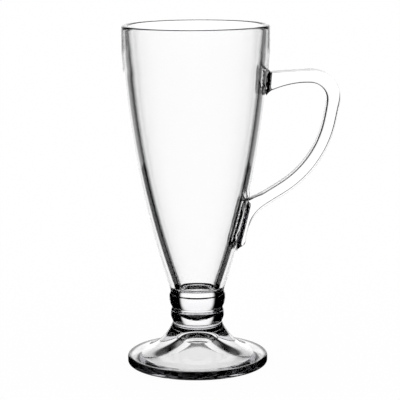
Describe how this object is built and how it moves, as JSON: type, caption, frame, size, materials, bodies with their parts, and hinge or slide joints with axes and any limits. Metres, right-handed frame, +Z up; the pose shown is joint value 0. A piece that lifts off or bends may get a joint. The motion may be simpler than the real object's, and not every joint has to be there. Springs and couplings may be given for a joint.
{
  "type": "irish coffee glass",
  "caption": "Tall footed glass for hot drinks: tapered thick-walled bowl with a rounded rim, ringed solid stem, flared foot with a hollow underside, and an applied side handle.",
  "frame": {"origin": "the axis of the bowl at the plane of the table, the centre of the foot's standing ring", "axes": "+Z up along the axis of the bowl, +X towards the handle"},
  "size_m": [0.1113, 0.076, 0.176],
  "materials": {
    "clear_glass": "fire-polished, clear"
  },
  "bodies": {
    "root": {"bowl": "clear_glass", "stem": "clear_glass", "foot": "clear_glass", "handle": "clear_glass"}
  },
  "joints": []
}
